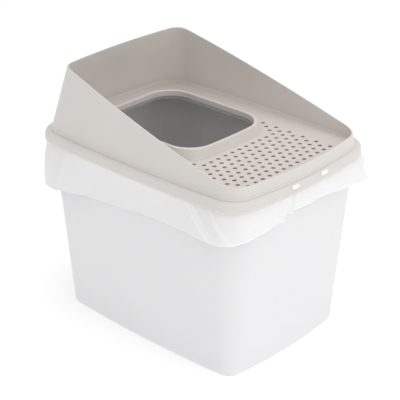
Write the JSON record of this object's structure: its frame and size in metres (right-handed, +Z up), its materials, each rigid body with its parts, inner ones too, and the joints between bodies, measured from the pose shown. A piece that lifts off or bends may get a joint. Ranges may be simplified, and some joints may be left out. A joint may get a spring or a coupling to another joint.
{
  "type": "top-entry cat litter box with splash hood",
  "caption": "Deep lidded cat litter box: tapered tub with a clamped liner bag, rim frame, perforated step deck with raised entry collar, and a sloping splash hood open at the front.",
  "frame": {"origin": "middle of the tub's underside, on the surface that it stands on", "axes": "+Z up, -Y the low open front, +X the right-hand side seen from the front"},
  "size_m": [0.4038, 0.536, 0.504],
  "materials": {
    "tub_plastic": "fine satin polypropylene",
    "film": "thin milky polyethylene film",
    "grey_plastic": "satin warm grey polypropylene",
    "latch_plastic": "polished warm grey polypropylene"
  },
  "bodies": {
    "tub": {"tub": "tub_plastic", "liner_bag": "film"},
    "frame": {"bag_frame": "grey_plastic"},
    "deck": {"step_deck": "grey_plastic", "entry_collar": "grey_plastic"},
    "hood": {"splash_hood": "grey_plastic"},
    "latch_left": {"front_latch_left": "latch_plastic"},
    "latch_right": {"front_latch_right": "latch_plastic"}
  },
  "joints": [
    {"name": "frame_lift", "type": "slide", "parent": "tub", "child": "frame", "axis": [0, 0, 1], "range_m": [0, 0.12]},
    {"name": "deck_lift", "type": "slide", "parent": "frame", "child": "deck", "axis": [0, 0, 1], "range_m": [0, 0.12]},
    {"name": "hood_lift", "type": "slide", "parent": "deck", "child": "hood", "axis": [0, 0, 1], "range_m": [0, 0.15]},
    {"name": "latch_left_flex", "type": "hinge", "parent": "frame", "child": "latch_left", "pos_m": [-0.04305, -0.2665, 0.36764], "axis": [0.999, -0.0446, 0], "range_deg": [0, 25], "stiffness_Nm_per_rad": 0.05},
    {"name": "latch_right_flex", "type": "hinge", "parent": "frame", "child": "latch_right", "pos_m": [0.03704, -0.26675, 0.36764], "axis": [0.9993, 0.0384, 0], "range_deg": [0, 25], "stiffness_Nm_per_rad": 0.05}
  ]
}
